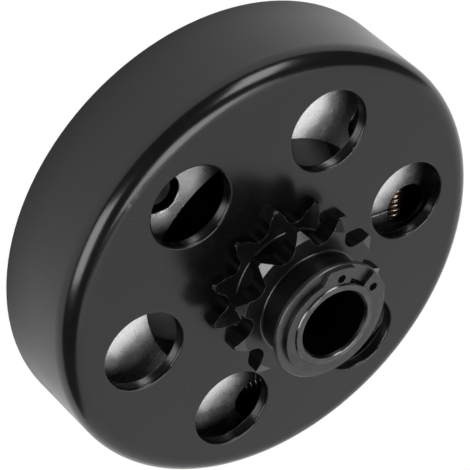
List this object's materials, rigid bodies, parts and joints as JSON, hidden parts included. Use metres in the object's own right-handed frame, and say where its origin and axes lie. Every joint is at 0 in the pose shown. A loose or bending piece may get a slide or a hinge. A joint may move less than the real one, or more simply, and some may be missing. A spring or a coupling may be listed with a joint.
{
  "type": "centrifugal clutch",
  "caption": "Centrifugal engine clutch: drum with round holes and a chain sprocket on a keyed hub, with sprung shoes inside that slide out to grip the drum.",
  "frame": {"origin": "centre of the drum's open rim, on the clutch axis, at the plane the clutch stands on", "axes": "+Z along the clutch axis from the open rim towards the sprocket; shoe 1 slides out along +X and shoe 2 along +Y"},
  "size_m": [0.107, 0.107, 0.0448],
  "materials": {
    "black_paint": "satin black paint on pressed steel",
    "dark_steel": "dark oiled turned steel",
    "bronze": "porous bronze, oiled",
    "steel": "turned steel",
    "zinc_plate": "zinc plated stamping",
    "washer_steel": "ground flat steel",
    "ring_steel": "phosphated spring steel",
    "pin_steel": "hardened steel",
    "shoe_steel": "smooth plated sintered steel",
    "spring_wire": "bronze coloured spring wire"
  },
  "bodies": {
    "hub": {"hub": "steel", "driver_plate": "zinc_plate", "thrust_washer": "washer_steel", "front_washer": "washer_steel", "retaining_ring": "ring_steel", "drive_pin_1": "pin_steel", "drive_pin_2": "pin_steel", "drive_pin_3": "pin_steel", "drive_pin_4": "pin_steel"},
    "drum": {"drum": "black_paint", "sprocket": "dark_steel", "bushing": "bronze"},
    "shoe_1": {"shoe_1": "shoe_steel", "spring_pins_1": "pin_steel", "spring_1": "spring_wire"},
    "shoe_2": {"shoe_2": "shoe_steel", "spring_pins_2": "pin_steel", "spring_2": "spring_wire"},
    "shoe_3": {"shoe_3": "shoe_steel", "spring_pins_3": "pin_steel", "spring_3": "spring_wire"},
    "shoe_4": {"shoe_4": "shoe_steel", "spring_pins_4": "pin_steel", "spring_4": "spring_wire"}
  },
  "joints": [
    {"name": "drum_spin", "type": "hinge", "parent": "hub", "child": "drum", "pos_m": [0, 0, 0], "axis": [0, 0, 1], "continuous": true},
    {"name": "shoe_1_slide", "type": "slide", "parent": "hub", "child": "shoe_1", "axis": [1, 0, 0], "range_m": [0, 0.001], "stiffness_N_per_m": 2000, "deforming": ["spring_1", "spring_4"]},
    {"name": "shoe_2_slide", "type": "slide", "parent": "hub", "child": "shoe_2", "axis": [0, 1, 0], "range_m": [0, 0.001], "stiffness_N_per_m": 2000, "deforming": ["spring_2", "spring_1"]},
    {"name": "shoe_3_slide", "type": "slide", "parent": "hub", "child": "shoe_3", "axis": [-1, 0, 0], "range_m": [0, 0.001], "stiffness_N_per_m": 2000, "deforming": ["spring_3", "spring_2"]},
    {"name": "shoe_4_slide", "type": "slide", "parent": "hub", "child": "shoe_4", "axis": [0, -1, 0], "range_m": [0, 0.001], "stiffness_N_per_m": 2000, "deforming": ["spring_4", "spring_3"]}
  ]
}
